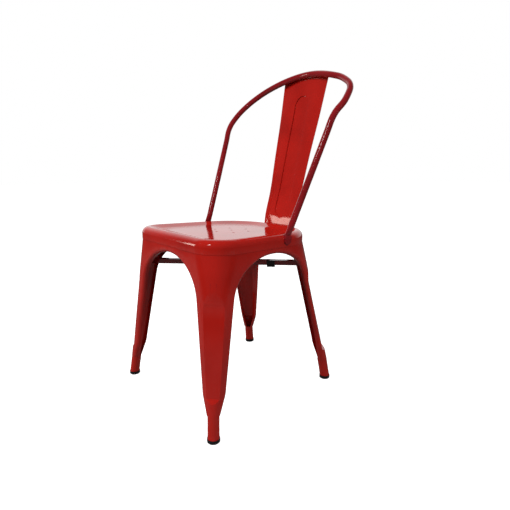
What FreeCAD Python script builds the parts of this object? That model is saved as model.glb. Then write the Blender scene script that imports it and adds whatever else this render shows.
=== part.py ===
import FreeCAD, Part
import math
import os
import Sketcher
from FreeCAD import Placement, Rotation, Vector

# Stacking bistro chair of pressed sheet steel, powder coated.
# Millimetres, +Z up, origin on the floor below the middle of the chair's outline.
# The front of the seat is -Y, the sitter's left is +X, and the chair mirrors about X = 0.

doc = FreeCAD.newDocument("bistro_chair")
sheet = doc.addObject("Spreadsheet::Sheet", "sizes")
SIZES = {}


def size(alias, value, note):
    """One row of the sheet: what the size is, and its value under a plain-word alias."""
    row = len(SIZES) + 1
    sheet.set("A%d" % row, note)
    sheet.set("B%d" % row, str(value))
    sheet.setAlias("B%d" % row, alias)
    SIZES[alias] = value


# general
size("sheet_wall", 1.2, "thickness of every pressed sheet")
size("weld_gap", 0.3, "room left for the weld between pieces that meet")
size("leg_fit", 1.3, "room between the skirt of the seat and the tops of the legs")
size("middle_behind", 32.8, "middle of the chair's outline behind the middle of its feet")

# seat pan, in its own plane
size("seat_height", 430.0, "height of the rim above the floor at mid depth")
size("seat_slope", 1.3, "degrees by which the seat falls to the rear")
size("front_corner_across", 119.5, "centre of a front seat corner, to the side")
size("front_corner_ahead", 118.0, "centre of a front seat corner, to the front")
size("front_corner_radius", 68.0, "front corner of the skirt")
size("rear_corner_across", 43.0, "centre of a rear seat corner, to the side")
size("rear_corner_behind", 40.0, "centre of a rear seat corner, to the rear")
size("rear_corner_radius", 133.0, "rear corner of the skirt")
size("skirt_depth", 31.0, "height of the seat from the rim to the edge of the skirt")
size("rim_roll", 17.0, "radius of the roll from the rim to the skirt")
size("rim_flat", 1.5, "flat left on top of the rim")
size("dish_slope_width", 30.0, "width of the slope around the dish")
size("dish_depth", 7.5, "depth of the dish")
size("dish_lip_radius", 8.0, "rounding where the rim turns into the dish")
size("dish_floor_radius", 80.0, "rounding where the slope turns into the floor of the dish")
size("drain_bore", 6.5, "bore of a drain hole")
size("drain_ring", 48.0, "radius of the ring of six drain holes")
size("drain_back", 5.0, "centre of the drain holes behind the origin")
size("drain_count", 6, "drain holes on the ring")

# frame of the four legs
size("leg_top_drop", 19.0, "top edge of the legs below the rim")
size("ankle_top", 58.0, "height at which a leg becomes a round ankle")
size("ankle_radius", 13.5, "outside radius of an ankle")
size("ankle_step", 0.3, "step in the outside where the sheet becomes the round ankle")
size("ankle_wall", 1.6, "from the outside of the sheet to the bore of an ankle")
size("front_foot_across", 205.1, "front ankle line at the floor, to the side")
size("front_foot_ahead", 203.3, "front ankle line at the floor, to the front")
size("rear_foot_across", 170.1, "rear ankle line at the floor, to the side")
size("rear_foot_behind", 202.4, "rear ankle line at the floor, to the rear")
size("front_lean_across", 0.139, "run to the middle per millimetre of height, front ankle")
size("front_lean_back", 0.118, "run to the rear per millimetre of height, front ankle")
size("rear_lean_across", 0.101, "run to the middle per millimetre of height, rear ankle")
size("rear_lean_ahead", 0.146, "run to the front per millimetre of height, rear ankle")
size("flange_depth", 13.0, "depth of the inward flange along an arch")
size("flange_turn", 112.0, "height below which the inward flanges deepen")
size("flange_end", 57.7, "height where the space between the flanges ends, just under the ankle top")
size("flange_foot", 5.0, "reach of the flanges inwards from the ankle line at that height")
size("arch_roll", 9.0, "radius of the rolled arch edge")

# arches
size("front_arch_top", 386.0, "crown of the front arch")
size("front_arch_spring", 285.0, "height of the centre of the front arch")
size("front_arch_half", 130.0, "half width of the front arch at its centre")
size("front_arch_splay", 0.185, "outward run of the front arch below its centre")
size("side_arch_top", 385.0, "crown of a side arch")
size("side_arch_spring", 288.0, "height of the centre of a side arch")
size("side_arch_half", 126.0, "half width of a side arch at its centre")
size("side_arch_ahead", 3.0, "middle of a side arch, to the front")
size("side_arch_splay_front", 0.185, "run of a side arch towards the front leg")
size("side_arch_splay_rear", 0.235, "run of a side arch towards the rear leg")
size("rear_arch_top", 377.0, "crown of the rear arch")
size("rear_arch_spring", 291.0, "height of the centre of the rear arch")
size("rear_arch_half", 88.0, "half width of the rear arch at its centre")
size("rear_arch_splay", 0.21, "outward run of the rear arch below its centre")
size("arch_bend", 98.0, "height where an arch edge turns towards the ankle")
size("arch_bend_radius", 70.0, "rounding of that turn")

# flute pressed into the outer corner of a leg
size("flute_depth", 6.5, "depth of the flute")
size("flute_start", 30.0, "lower end of the flute above the ankle, along the corner")
size("flute_end", 270.0, "upper end of the flute above the ankle, along the corner")
size("flute_foot_ramp", 9.0, "length of the lower run-out")
size("flute_head_ramp", 34.0, "length of the upper run-out")
size("flute_half", 32.0, "half width of the press tool")

# rubber feet
size("sole_radius", 14.3, "radius of a foot")
size("sole_height", 9.0, "height of a foot below the ankle")
size("sole_chamfer", 1.5, "chamfer round the sole")
size("stem_radius", 11.5, "radius of the stem inside the ankle")
size("stem_height", 20.0, "height of the stem")

# back hoop
size("tube_radius", 8.0, "outside radius of the hoop tube")
size("tube_wall", 1.5, "wall of the hoop tube")
size("hoop_root_across", 172.6, "hoop line at the rim, to the side")
size("hoop_root_behind", 45.1, "hoop line at the rim, to the rear")
size("hoop_root_height", 425.0, "hoop line at the rim, height")
size("hoop_knee_across", 203.0, "end of the straight side, to the side")
size("hoop_knee_behind", 139.9, "end of the straight side, to the rear")
size("hoop_knee_height", 664.5, "end of the straight side, height")
size("hoop_kink_across", 208.4, "start of the bow, to the side")
size("hoop_kink_behind", 155.5, "start of the bow, to the rear")
size("hoop_kink_height", 703.6, "start of the bow, height")
size("hoop_elbow_across", 214.5, "widest point of the bow, to the side")
size("hoop_elbow_behind", 193.3, "widest point of the bow, to the rear")
size("hoop_elbow_height", 747.0, "widest point of the bow, height")
size("hoop_haunch_across", 199.5, "turn of the bow, to the side")
size("hoop_haunch_behind", 226.0, "turn of the bow, to the rear")
size("hoop_haunch_height", 781.5, "turn of the bow, height")
size("hoop_shoulder_across", 161.1, "shoulder of the bow, to the side")
size("hoop_shoulder_behind", 246.0, "shoulder of the bow, to the rear")
size("hoop_shoulder_height", 807.9, "shoulder of the bow, height")
size("hoop_crown_across", 110.3, "crown of the bow, to the side")
size("hoop_crown_behind", 256.8, "crown of the bow, to the rear")
size("hoop_crown_height", 826.0, "crown of the bow, height")
size("hoop_top_behind", 271.5, "top of the bow, to the rear")
size("hoop_top_height", 843.5, "top of the bow, height")
size("tang_width", 22.0, "width of the flattened tube end")
size("tang_thickness", 3.2, "thickness of the flattened tube end")
size("tang_end_height", 403.0, "lower end of the flattened tube end")
size("squash_start", 446.0, "height where the tube begins to flatten")
size("squash_end", 423.0, "height where the tube is flat")
size("squash_step", 0.1, "step down from the tube to its flattened end")
size("squash_lean", 36.0, "degrees by which the flat section faces upwards")
size("squash_bulge", 0.8, "fullness left on either face of the flat section")

# back splat
size("splat_top_half", 85.1, "half width of the splat at the top")
size("splat_top_height", 824.0, "height of that width")
size("splat_mid_half", 72.5, "half width of the splat at mid height")
size("splat_mid_height", 655.0, "height of that width")
size("splat_foot_half", 60.5, "half width of the splat at the seat")
size("splat_foot_height", 424.0, "height of that width")
size("splat_tongue_height", 398.0, "lower end of the splat on the skirt")
size("splat_tongue_corner", 24.0, "corner radius of the lower end")
size("splat_top_behind", 276.4, "front face of the splat at its top, to the rear")
size("splat_upper_behind", 251.3, "front face of the splat, upper point, to the rear")
size("splat_upper_height", 716.0, "front face of the splat, upper point, height")
size("splat_lumbar_behind", 222.8, "front face of the splat, lumbar point, to the rear")
size("splat_lumbar_height", 608.0, "front face of the splat, lumbar point, height")
size("splat_lower_behind", 194.9, "front face of the splat, lower point, to the rear")
size("splat_lower_height", 500.0, "front face of the splat, lower point, height")
size("splat_bend_height", 410.0, "height where the splat leaves the skirt")
size("splat_lip_over", 9.6, "run of the turned top edge past the front face, before trimming")
size("splat_room", 100.0, "room cleared above and behind the turned top edge")
size("panel_half", 25.5, "half width of the pressed panel")
size("panel_top", 788.0, "top of the pressed panel")
size("panel_foot", 448.0, "lower end of the pressed panel")
size("panel_depth", 2.5, "depth of the pressed panel")

# brace under the seat
size("brace_height", 337.5, "height of the middle of the brace bars")
size("bar_depth", 13.0, "height of a brace bar")
size("bar_width", 16.0, "width of a brace bar")
size("bar_wall", 1.5, "wall of a brace bar")
size("brace_cross_behind", 3.0, "crossing of the bars, to the rear")
size("brace_turn", 45.3, "degrees from the width of the chair to a brace bar")
size("bar_reach", 300.0, "length of bar laid down before the ends are trimmed")
size("pad_distance", 107.0, "middle of a pad from the crossing")
size("pad_length", 21.0, "length of a pad")
size("pad_wall", 2.6, "thickness of a pad beside the bar")
size("pad_sole", 4.5, "thickness of a pad under the bar")

doc.recompute()


def val(alias):
    """Reads a size back from the sheet."""
    return float(sheet.get(alias))


SIDES = (("left", 1), ("right", -1))


def keep(name, shape):
    """A piece whose shape comes from solid functions."""
    piece = doc.addObject("Part::Feature", name)
    piece.Label = name
    piece.Shape = shape
    piece.Placement = Placement()
    return piece


def only_solid(shape):
    """The largest solid of a boolean result, cleaned of split faces."""
    solids = sorted(shape.Solids, key=lambda s: s.Volume)
    return solids[-1].removeSplitter()


# outlines

def tangent_line(first, first_radius, second, second_radius):
    """Outer tangent of two circles, on the right of the direction of travel."""
    along = second - first
    reach = along.Length
    along.normalize()
    side = Vector(along.y, -along.x, 0)
    lean = (first_radius - second_radius) / reach
    normal = along * lean + side * math.sqrt(1 - lean * lean)
    return first + normal * first_radius, second + normal * second_radius, normal


def hull(front, front_radius, rear, rear_radius):
    """Outline around four corner circles, as a wire of four lines and four arcs."""
    spots = [
        (Vector(-front[0], -front[1], 0), front_radius),
        (Vector(front[0], -front[1], 0), front_radius),
        (Vector(rear[0], rear[1], 0), rear_radius),
        (Vector(-rear[0], rear[1], 0), rear_radius),
    ]
    runs = []
    for index in range(4):
        here, here_radius = spots[index]
        there, there_radius = spots[(index + 1) % 4]
        runs.append(tangent_line(here, here_radius, there, there_radius))
    edges = []
    for index in range(4):
        start, end, normal = runs[index]
        following = runs[(index + 1) % 4]
        centre, radius = spots[(index + 1) % 4]
        middle = normal + following[2]
        middle.normalize()
        edges.append(Part.makeLine(start, end))
        edges.append(Part.Arc(end, centre + middle * radius, following[0]).toShape())
    return Part.Wire(edges)


def seat_place(drop=0.0):
    """Placement of the plane that lies the given distance under the rim."""
    turn = Rotation(Vector(1, 0, 0), -val("seat_slope"))
    return Placement(Vector(0, 0, val("seat_height")), turn).multiply(
        Placement(Vector(0, 0, -drop), Rotation())
    )


def seat_outline(grow, drop):
    """Outline of the skirt, grown or shrunk, in a plane under the rim."""
    wire = hull(
        (val("front_corner_across"), val("front_corner_ahead")),
        val("front_corner_radius") + grow,
        (val("rear_corner_across"), val("rear_corner_behind")),
        val("rear_corner_radius") + grow,
    )
    wire.Placement = Placement(Vector(0, 0, -drop), Rotation())
    return wire


def seat_block(grow, extra):
    """Solid seat in its own plane with the rolled rim, grown by a distance."""
    tall = val("skirt_depth") + grow + extra
    base = Part.Face(seat_outline(grow, val("skirt_depth") + extra))
    block = base.extrude(Vector(0, 0, tall))
    top_edges = [e for e in block.Edges if e.BoundBox.ZMin > grow - 0.01]
    return block.makeFillet(val("rim_roll") + grow, top_edges)


# seat pan
def dish(drop):
    """Tool that presses the dish into the top of the seat."""
    lip = -val("rim_roll") - val("rim_flat")
    floor = lip - val("dish_slope_width")
    upper = seat_outline(lip, drop)
    lower = seat_outline(floor, drop + val("dish_depth"))
    slope = Part.makeLoft([lower, upper], True, True)
    cap = Part.Face(upper).extrude(Vector(0, 0, val("rim_roll")))
    return slope.fuse(cap).removeSplitter()


def pressed_seat(grow, drop, extra):
    """Seat block with the dish, both edges of the slope rounded."""
    block = seat_block(grow, extra).cut(dish(drop))
    lip_edges = []
    floor_edges = []
    for edge in block.Edges:
        box = edge.BoundBox
        if box.ZLength > 0.01:
            continue
        if abs(box.ZMin + drop) < 0.01 and box.DiagonalLength > 1:
            middle = edge.valueAt((edge.FirstParameter + edge.LastParameter) / 2)
            lip = Part.Vertex(middle).distToShape(
                seat_outline(-val("rim_roll") - val("rim_flat"), drop)
            )[0]
            if lip < 0.05:
                lip_edges.append(edge)
        if abs(box.ZMin + drop + val("dish_depth")) < 0.01:
            floor_edges.append(edge)
    block = block.makeFillet(val("dish_floor_radius"), floor_edges)
    lips = []
    for edge in block.Edges:
        for lip in lip_edges:
            if edge.CenterOfMass.distanceToPoint(lip.CenterOfMass) < 0.05:
                lips.append(edge)
                break
    return block.makeFillet(val("dish_lip_radius"), lips)


pan = pressed_seat(0.0, 0.0, 0.0).cut(
    pressed_seat(-val("sheet_wall"), val("sheet_wall"), 1.0)
)
bore_reach = 2 * val("dish_depth") + 10 * val("sheet_wall")
bores = [Vector(0, val("drain_back"), 0)]
for index in range(int(val("drain_count"))):
    angle = math.pi / 6 + index * 2 * math.pi / val("drain_count")
    across = val("drain_ring") * math.cos(angle)
    along = val("drain_ring") * math.sin(angle)
    bores.append(Vector(across, val("drain_back") + along, 0))
for spot in bores:
    low = Vector(spot.x, spot.y, -0.75 * bore_reach)
    pan = pan.cut(Part.makeCylinder(val("drain_bore") / 2, bore_reach, low))
pan = only_solid(pan)
seat = keep("seat_pan", pan)
seat.Placement = seat_place()

# frame of the legs: four tapering legs cut from one tapering block by the arches

def ankle_centre(end, height):
    """Middle of an ankle at a height: end is +1 for the front, -1 for the rear."""
    if end > 0:
        across = val("front_foot_across") - val("front_lean_across") * height
        ahead = val("front_foot_ahead") - val("front_lean_back") * height
    else:
        across = val("rear_foot_across") - val("rear_lean_across") * height
        ahead = val("rear_foot_behind") - val("rear_lean_ahead") * height
    return across, ahead


def corner_line(end):
    """The ankle end and the seat end of the middle line of a left corner, and its radii."""
    name = "front" if end > 0 else "rear"
    across, along = ankle_centre(end, val("ankle_top"))
    low = Vector(across, -end * along, val("ankle_top"))
    reach = "_corner_ahead" if end > 0 else "_corner_behind"
    high = seat_place(val("leg_top_drop")).multVec(
        Vector(val(name + "_corner_across"), -end * val(name + reach), 0)
    )
    lost = val("sheet_wall") + val("leg_fit")
    return low, high, val("ankle_radius"), val(name + "_corner_radius") - lost


def frame_outline(height, inset):
    """Level outline of the frame between the ankles and the seat, inset from its faces."""
    corners = []
    for end in (1, -1):
        low, high, low_radius, high_radius = corner_line(end)
        share = (high.z - height) / (high.z - low.z)
        centre = high + (low - high) * share
        corners.append((centre.x, -end * centre.y))
        corners.append(high_radius + (low_radius - high_radius) * share - inset)
    wire = hull(*corners)
    wire.Placement = Placement(Vector(0, 0, height), Rotation())
    return wire


def frame_top(inset):
    """Outline of the tops of the legs, under the seat."""
    top = seat_outline(-val("sheet_wall") - val("leg_fit") - inset, val("leg_top_drop"))
    top.Placement = seat_place(val("leg_top_drop"))
    return top


def frame_block(inset):
    """Tapering block between the skirt and the ankles, inset from its own faces."""
    foot = frame_outline(val("ankle_top"), inset)
    return Part.makeLoft([foot, frame_top(inset)], True, True)


def frame_core():
    """Space between the inward flanges of the legs."""
    height = val("flange_end")
    front = ankle_centre(1, height)
    rear = ankle_centre(-1, height)
    reach = val("flange_foot")
    foot = hull(
        (front[0] - reach, front[1] - reach), val("sheet_wall"),
        (rear[0] - reach, rear[1] - reach), val("sheet_wall"),
    )
    foot.Placement = Placement(Vector(0, 0, height), Rotation())
    depth = val("flange_depth")
    turn = frame_outline(val("flange_turn"), depth)
    return Part.makeLoft([foot, turn, frame_top(depth)], True, True)


def arch_side(half, rise, spring, splay, foot):
    """One side of an arch: where the crown ends, where the line turns, and the ankle."""
    reach = math.hypot(half, splay * rise)
    start = Vector(half * half / reach, spring + splay * rise * rise / reach, 0)
    turn = Vector(reach + splay * (spring - val("arch_bend")), val("arch_bend"), 0)
    return start, turn, Vector(foot, val("ankle_top"), 0)


def softened(start, turn, end):
    """Line, arc, line through a turn with the bend radius."""
    first = turn - start
    second = end - turn
    first.normalize()
    second.normalize()
    angle = first.getAngle(second)
    reach = val("arch_bend_radius") * math.tan(angle / 2)
    enter = turn - first * reach
    leave = turn + second * reach
    middle_dir = second - first
    middle_dir.normalize()
    depth = val("arch_bend_radius") * (1 / math.cos(angle / 2) - 1)
    middle = turn + middle_dir * depth
    return [
        Part.makeLine(start, enter),
        Part.Arc(enter, middle, leave).toShape(),
        Part.makeLine(leave, end),
    ]


def arch_face(centre, top, spring, half, splays, feet, grow):
    """Opening of an arch in the XY plane: X is along the face, Y is height.

    splays and feet are given for the negative and the positive side."""
    top = top + grow
    half = half + grow
    rise = top - spring
    crown = Part.Ellipse(Vector(centre, spring, 0), half, rise)
    sides = []
    for sign, splay, foot in ((-1, splays[0], feet[0]), (1, splays[1], feet[1])):
        reach = abs(foot - centre) + grow
        points = arch_side(half, rise, spring, splay, reach)
        sides.append([Vector(centre + sign * p.x, p.y, 0) for p in points])
    left = sides[0]
    right = sides[1]
    first = crown.parameter(right[0])
    last = crown.parameter(left[0])
    edges = [Part.ArcOfEllipse(crown, first, last).toShape()]
    edges += softened(*left)
    edges.append(Part.makeLine(left[2], Vector(left[2].x, 0, 0)))
    edges.append(Part.makeLine(Vector(left[2].x, 0, 0), Vector(right[2].x, 0, 0)))
    edges.append(Part.makeLine(Vector(right[2].x, 0, 0), right[2]))
    edges += softened(*right)
    return Part.Face(Part.Wire(Part.__sortEdges__(edges)))


def tunnels(grow):
    """The three arch tunnels, grown by a distance."""
    radius = val("ankle_radius")
    height = val("ankle_top")
    front = ankle_centre(1, height)
    rear = ankle_centre(-1, height)
    far = 2 * val("front_foot_across")
    front_face = arch_face(
        0.0, val("front_arch_top"), val("front_arch_spring"), val("front_arch_half"),
        (val("front_arch_splay"),) * 2, (-(front[0] - radius), front[0] - radius), grow,
    )
    rear_face = arch_face(
        0.0, val("rear_arch_top"), val("rear_arch_spring"), val("rear_arch_half"),
        (val("rear_arch_splay"),) * 2, (-(rear[0] - radius), rear[0] - radius), grow,
    )
    side_face = arch_face(
        -val("side_arch_ahead"), val("side_arch_top"), val("side_arch_spring"),
        val("side_arch_half"),
        (val("side_arch_splay_front"), val("side_arch_splay_rear")),
        (-(front[1] - radius), rear[1] - radius), grow,
    )
    upright = Rotation(Vector(1, 0, 0), 90)
    sideways = Rotation(Vector(0, 0, 1), 90).multiply(upright)
    front_face.Placement = Placement(Vector(0, 0, 0), upright)
    rear_face.Placement = Placement(Vector(0, 0, 0), upright)
    side_face.Placement = Placement(Vector(-far, 0, 0), sideways)
    return (
        front_face.extrude(Vector(0, -far, 0)),
        rear_face.extrude(Vector(0, far, 0)),
        side_face.extrude(Vector(2 * far, 0, 0)),
    )


def arch_edges(opened, block, tools):
    """Edges of the opened block where an arch breaks through a face."""
    skins = [tool.Shells[0] for tool in tools]
    found = []
    for edge in opened.Edges:
        if edge.BoundBox.ZMax < val("ankle_top") + 1:
            continue
        first = edge.FirstParameter
        span = edge.LastParameter - first
        spots = [Part.Vertex(edge.valueAt(first + span * part)) for part in (0.2, 0.5, 0.8)]
        if max(spot.distToShape(block.Shells[0])[0] for spot in spots) > 0.01:
            continue
        for skin in skins:
            if max(spot.distToShape(skin)[0] for spot in spots) < 0.01:
                found.append(edge)
                break
    return found


def flute(end, side, deeper):
    """Press tool for the flute in the outer corner of one leg."""
    out = Vector(side, -end, 0)
    out.normalize()
    low, high, low_radius, high_radius = corner_line(end)
    low = Vector(side * low.x, low.y, low.z) + out * low_radius
    high = Vector(side * high.x, high.y, high.z) + out * high_radius
    along = high - low
    along.normalize()
    normal = out - along * out.dot(along)
    normal.normalize()
    across_dir = along.cross(normal)
    sink = val("flute_depth") + deeper
    start = val("flute_start") - deeper
    finish = val("flute_end") + deeper
    proud = 4 * val("flute_depth")
    profile = [
        (start, proud),
        (start, 0),
        (start + val("flute_foot_ramp"), -sink),
        (finish - val("flute_head_ramp"), -sink),
        (finish, 0),
        (finish, proud),
    ]
    half = val("flute_half") + deeper
    points = [low + along * s + normal * n - across_dir * half for s, n in profile]
    points.append(points[0])
    return Part.Face(Part.makePolygon(points)).extrude(across_dir * 2 * half)


def leg_space(inset):
    """Block opened by the arches, with the arch edges rolled and the corners fluted."""
    block = frame_block(inset)
    tools = tunnels(inset)
    opened = block
    for tool in tools:
        opened = opened.cut(tool)
    rolled = opened.makeFillet(val("arch_roll") - inset, arch_edges(opened, block, tools))
    for end in (1, -1):
        for name, side in SIDES:
            rolled = rolled.cut(flute(end, side, inset))
    return rolled


def ankle_solid(end, side, inset, low, high):
    """Leaning round ankle between two heights, with level ends."""
    rings = []
    for height in (low, high):
        across, ahead = ankle_centre(end, height)
        centre = Vector(side * across, -end * ahead, height)
        rings.append(Part.Wire(Part.makeCircle(val("ankle_radius") - inset, centre)))
    return Part.makeLoft(rings, True, True)


def legs():
    """The four pressed legs, each one sheet, parted at the crowns of the arches."""
    wall = val("sheet_wall")
    skin = leg_space(0.0)
    hollow = leg_space(wall)
    reach = 2 * val("front_foot_across")
    floor_of_hollow = val("ankle_top") + wall
    hollow = hollow.cut(
        Part.makeBox(2 * reach, 2 * reach, floor_of_hollow, Vector(-reach, -reach, 0))
    )
    pressed = skin.cut(hollow).cut(frame_core())
    sole = val("sole_height")
    tall = val("seat_height")
    made = {}
    for end_name, end in (("front", 1), ("rear", -1)):
        corner = Vector(0, -val("side_arch_ahead"), 0)
        if end > 0:
            corner.y -= reach
        quarter = pressed.common(Part.makeBox(reach, reach, tall, corner))
        leg = quarter.fuse(
            ankle_solid(end, 1, val("ankle_step"), sole, val("ankle_top"))
        )
        leg = leg.cut(ankle_solid(end, 1, val("ankle_wall"), sole, floor_of_hollow))
        leg = only_solid(leg)
        made[end_name + "_left_leg"] = leg
        made[end_name + "_right_leg"] = leg.mirror(Vector(0, 0, 0), Vector(1, 0, 0))
    return made


for name, shape in legs().items():
    keep(name, shape)


# rubber feet: a flat sole and a leaning stem pushed into the ankle

def plane_of(body, role):
    """One of the three planes through the origin of a body."""
    return next(f for f in body.Origin.OriginFeatures if f.Role == role)


def level_circle(body, name, radius_name):
    """Sketch of a circle in the level plane, its radius bound to a size."""
    ring = body.newObject("Sketcher::SketchObject", name)
    ring.AttachmentSupport = [(plane_of(body, "XY_Plane"), "")]
    ring.MapMode = "FlatFace"
    radius = val(radius_name)
    ring.addGeometry(Part.Circle(Vector(0, 0, 0), Vector(0, 0, 1), radius), False)
    ring.addConstraint(Sketcher.Constraint("Coincident", 0, 3, -1, 1))
    ring.addConstraint(Sketcher.Constraint("Radius", 0, radius))
    ring.setExpression("Constraints[1]", "sizes." + radius_name)
    return ring


def foot(name, end, side):
    """Rubber foot: a bevelled sole and a stem that leans with the ankle."""
    body = doc.addObject("PartDesign::Body", name)
    body.Label = name
    sole = body.newObject("PartDesign::Pad", name + "_sole")
    sole.Profile = level_circle(body, name + "_sole_outline", "sole_radius")
    sole.setExpression("Length", "sizes.sole_height")
    doc.recompute()
    rims = [
        "Edge%d" % (n + 1)
        for n, e in enumerate(sole.Shape.Edges)
        if e.BoundBox.ZMax < 0.01
    ]
    bevel = body.newObject("PartDesign::Chamfer", name + "_bevel")
    bevel.Base = (sole, rims)
    bevel.setExpression("Size", "sizes.sole_chamfer")
    stem = body.newObject("PartDesign::AdditiveLoft", name + "_stem")
    rings = []
    run = "(sizes.sole_height + sizes.stem_height)"
    if end > 0:
        across, ahead = "sizes.front_lean_across", "sizes.front_lean_back"
    else:
        across, ahead = "sizes.rear_lean_across", "sizes.rear_lean_ahead"
    for label, height in (("low", "sizes.sole_height"), ("high", run)):
        ring = level_circle(body, name + "_stem_" + label, "stem_radius")
        lift = "(%s - sizes.sole_height)" % height
        ring.setExpression(".AttachmentOffset.Base.x", "%d * %s * %s" % (-side, across, lift))
        ring.setExpression(".AttachmentOffset.Base.y", "%d * %s * %s" % (end, ahead, lift))
        ring.setExpression(".AttachmentOffset.Base.z", height)
        rings.append(ring)
    stem.Profile = rings[0]
    stem.Sections = [rings[1]]
    stem.Ruled = True
    body.Tip = stem
    spot = ankle_centre(end, val("sole_height"))
    body.Placement = Placement(Vector(side * spot[0], -end * spot[1], 0), Rotation())
    return body


for end_name, end in (("front", 1), ("rear", -1)):
    for side_name, side in SIDES:
        foot(end_name + "_" + side_name + "_foot", end, side)
doc.recompute()


# back hoop: one bent tube, both ends flattened and welded to the roll of the seat

def hoop_points():
    """Points of the left half of the hoop, from the end of the straight side to the top."""
    stations = ("knee", "kink", "elbow", "haunch", "shoulder", "crown")
    points = [
        Vector(
            val("hoop_%s_across" % s), val("hoop_%s_behind" % s), val("hoop_%s_height" % s)
        )
        for s in stations
    ]
    return points, Vector(0, val("hoop_top_behind"), val("hoop_top_height"))


root = Vector(val("hoop_root_across"), val("hoop_root_behind"), val("hoop_root_height"))
knee = hoop_points()[0][0]
rise = (knee - root).normalize()


def on_side(height):
    """Point of the straight left side of the hoop at a height."""
    return root + rise * ((height - root.z) / rise.z)


def hoop_stations():
    """Points and directions of the bow, from the left knee over the top to the right knee."""
    left, top = hoop_points()
    right = [Vector(-p.x, p.y, p.z) for p in reversed(left)]
    points = left + [top] + right
    stations = [(left[0], rise)]
    for before, here, after in zip(points, points[1:], points[2:]):
        arriving = here - before
        leaving = after - here
        step = arriving / arriving.dot(arriving) + leaving / leaving.dot(leaving)
        stations.append((here, step.normalize()))
    stations.append((right[-1], Vector(rise.x, -rise.y, -rise.z)))
    return stations


def swept(ring, spot, step, target):
    """Ring carried along the arc that leaves a spot in a direction and ends at a target."""
    chord = target - spot
    axis = step.cross(chord)
    axis.normalize()
    inward = axis.cross(step)
    radius = chord.dot(chord) / (2 * chord.dot(inward))
    centre = spot + inward * radius
    turn = math.degrees(2 * step.getAngle(chord))
    face = ring.revolve(centre, axis, turn)
    carried = ring.copy()
    carried.rotate(centre, axis, turn)
    return face, carried


def bow(radius):
    """Wall of the bow as faces: two arcs between each pair of stations."""
    stations = hoop_stations()
    start, rise = stations[0]
    ring = Part.makeCircle(radius, start, rise)
    first_ring = ring
    faces = []
    for (here, leaving), (there, arriving) in zip(stations, stations[1:]):
        chord = there - here
        both = leaving + arriving
        spread = 2 * (1 - leaving.dot(arriving))
        pull = chord.dot(both)
        reach = (math.sqrt(pull * pull + spread * chord.dot(chord)) - pull) / spread
        middle = (here + leaving * reach + there - arriving * reach) * 0.5
        face, ring = swept(ring, here, leaving, middle)
        faces.append(face)
        half_way = (middle - here).normalize()
        step = half_way * (2 * half_way.dot(leaving)) - leaving
        face, ring = swept(ring, middle, step, there)
        faces.append(face)
    return first_ring, faces, ring


def wall_of(radius, start):
    """Whole wall of the tube at a radius, with the end circles."""
    first_ring, faces, last_ring = bow(radius)
    run = start - knee
    other_run = Vector(-run.x, run.y, run.z)
    faces.append(first_ring.extrude(run))
    faces.append(last_ring.extrude(other_run))
    first_ring = first_ring.translated(run)
    last_ring = last_ring.translated(other_run)
    return faces, first_ring, last_ring


def closed(faces):
    """Solid inside a set of faces that meet."""
    shell = Part.Shell(faces)
    shell.sewShape()
    solid = Part.Solid(shell)
    solid.fix(0.001, 0.001, 0.001)
    return solid


def rod(radius, start):
    """The line of the tube as a solid rod of a radius."""
    faces, first_ring, last_ring = wall_of(radius, start)
    ends = [Part.Face(Part.Wire(ring)) for ring in (first_ring, last_ring)]
    return closed(faces + ends)


def tube(start):
    """The hollow tube: both walls and a flat ring at either end, closed to one solid."""
    outer, outer_first, outer_last = wall_of(val("tube_radius"), start)
    inner, inner_first, inner_last = wall_of(val("tube_radius") - val("tube_wall"), start)
    ends = []
    for big, small in ((outer_first, inner_first), (outer_last, inner_last)):
        disc = Part.Face(Part.Wire(big)).cut(Part.Face(Part.Wire(small)))
        ends.append(disc.Faces[0])
    return closed(outer + inner + ends)


def seat_skin(grow):
    """Outside of the seat grown by a distance, set in place."""
    shape = seat_block(grow, 0.0)
    shape.Placement = seat_place()
    return shape


def oval(centre, long_dir, long_half, short_dir, short_half):
    """Section of the flattened end of the tube."""
    if long_half == short_half:
        curve = Part.Circle(centre, long_dir.cross(short_dir), long_half)
        curve.XAxis = long_dir
    else:
        curve = Part.Ellipse(
            centre + long_dir * long_half, centre + short_dir * short_half, centre
        )
    return Part.Wire(curve.toShape())


def squash():
    """End of the tube, pressed from round to flat over the roll of the seat."""
    start = on_side(val("squash_start") + val("tube_wall"))
    along = Vector(0, 1, 0) - rise * rise.y
    along.normalize()
    inside = val("tube_radius") - val("squash_step")
    round_ring = oval(start, along, inside, along.cross(rise), inside)
    # the flat section lies on the roll, square to the way out of the seat
    middle = on_side(val("squash_end"))
    ray = Part.makeLine(middle, middle + Vector(2 * val("rim_roll"), 0, 0))
    hit = ray.common(seat_skin(val("weld_gap"))).BoundBox.XMax
    lean = math.radians(val("squash_lean"))
    outward = Vector(math.cos(lean), 0, math.sin(lean))
    half = val("tang_thickness") / 2
    flat_ring = oval(
        Vector(hit, middle.y, middle.z) + outward * half,
        Vector(0, 1, 0), val("tang_width") / 2, outward, half + val("squash_bulge"),
    )
    return Part.makeLoft([flat_ring, round_ring], True, False)


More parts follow.
